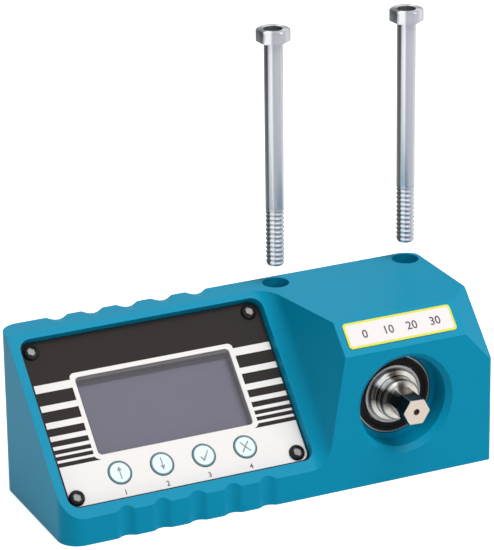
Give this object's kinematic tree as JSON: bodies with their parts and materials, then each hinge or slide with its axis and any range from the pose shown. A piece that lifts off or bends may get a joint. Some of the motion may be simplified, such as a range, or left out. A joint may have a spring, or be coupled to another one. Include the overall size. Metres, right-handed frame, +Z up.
{
  "type": "torque tester",
  "caption": "Bench tester for torque tools: moulded housing with sloped display and keys, recessed hexagon drive on a fixed torsion shaft, and long bolts through to the bench.",
  "frame": {"origin": "centre of the housing's underside, on the surface it stands on", "axes": "+Z up, +X along the housing from the display end to the drive end, -Y to the front, where the drive points"},
  "size_m": [0.197, 0.0812, 0.186],
  "materials": {
    "teal_housing": "satin, fine texture",
    "black_parts": "satin",
    "printed_overlay": "printed, satin",
    "clear_window": "clear",
    "display_metal": "satin",
    "display_glass": "smooth",
    "pale_keys": "satin",
    "polished_steel": "turned and polished",
    "zinc_plating": "zinc plated",
    "brass": "plain",
    "black_rubber": "matte",
    "dark_base": "anodised",
    "circuit_board": "solder resist",
    "label_white": "satin"
  },
  "bodies": {
    "housing": {"base_plate": "dark_base", "base_screw_1": "zinc_plating", "base_screw_2": "zinc_plating", "base_screw_3": "zinc_plating", "base_screw_4": "zinc_plating", "bearing_cage": "brass", "bearing_inner_ring": "polished_steel", "bearing_outer_ring": "polished_steel", "bearing_seal_front": "black_rubber", "bearing_seal_rear": "black_rubber", "case": "teal_housing", "display_board": "circuit_board", "display_frame": "display_metal", "display_glass": "display_glass", "display_window": "clear_window", "dome_1": "polished_steel", "dome_2": "polished_steel", "dome_3": "polished_steel", "dome_4": "polished_steel", "drive_shaft": "polished_steel", "fascia_plate": "black_parts", "flange_screw_1": "polished_steel", "flange_screw_2": "polished_steel", "flange_screw_3": "polished_steel", "flange_screw_4": "polished_steel", "gauge_sleeve": "brass", "main_board": "circuit_board", "panel_overlay": "printed_overlay", "panel_screw_1": "black_parts", "panel_screw_2": "black_parts", "panel_screw_3": "black_parts", "panel_screw_4": "black_parts", "power_inlet": "black_parts", "range_label": "label_white"},
    "mounting_bolt_left": {"mounting_bolt_left": "zinc_plating"},
    "mounting_bolt_right": {"mounting_bolt_right": "zinc_plating"},
    "key_1": {"key_1": "pale_keys"},
    "key_2": {"key_2": "pale_keys"},
    "key_3": {"key_3": "pale_keys"},
    "key_4": {"key_4": "pale_keys"}
  },
  "joints": [
    {"name": "mounting_bolt_left_slide", "type": "slide", "parent": "housing", "child": "mounting_bolt_left", "axis": [0, 0, 1], "range_m": [-0.1084, 0]},
    {"name": "mounting_bolt_right_slide", "type": "slide", "parent": "housing", "child": "mounting_bolt_right", "axis": [0, 0, 1], "range_m": [-0.1084, 0]},
    {"name": "key_1_press", "type": "slide", "parent": "housing", "child": "key_1", "axis": [0, 0.7118, -0.7023], "range_m": [0, 0.0004], "stiffness_N_per_m": 800},
    {"name": "key_2_press", "type": "slide", "parent": "housing", "child": "key_2", "axis": [0, 0.7118, -0.7023], "range_m": [0, 0.0004], "stiffness_N_per_m": 800},
    {"name": "key_3_press", "type": "slide", "parent": "housing", "child": "key_3", "axis": [0, 0.7118, -0.7023], "range_m": [0, 0.0004], "stiffness_N_per_m": 800},
    {"name": "key_4_press", "type": "slide", "parent": "housing", "child": "key_4", "axis": [0, 0.7118, -0.7023], "range_m": [0, 0.0004], "stiffness_N_per_m": 800}
  ]
}
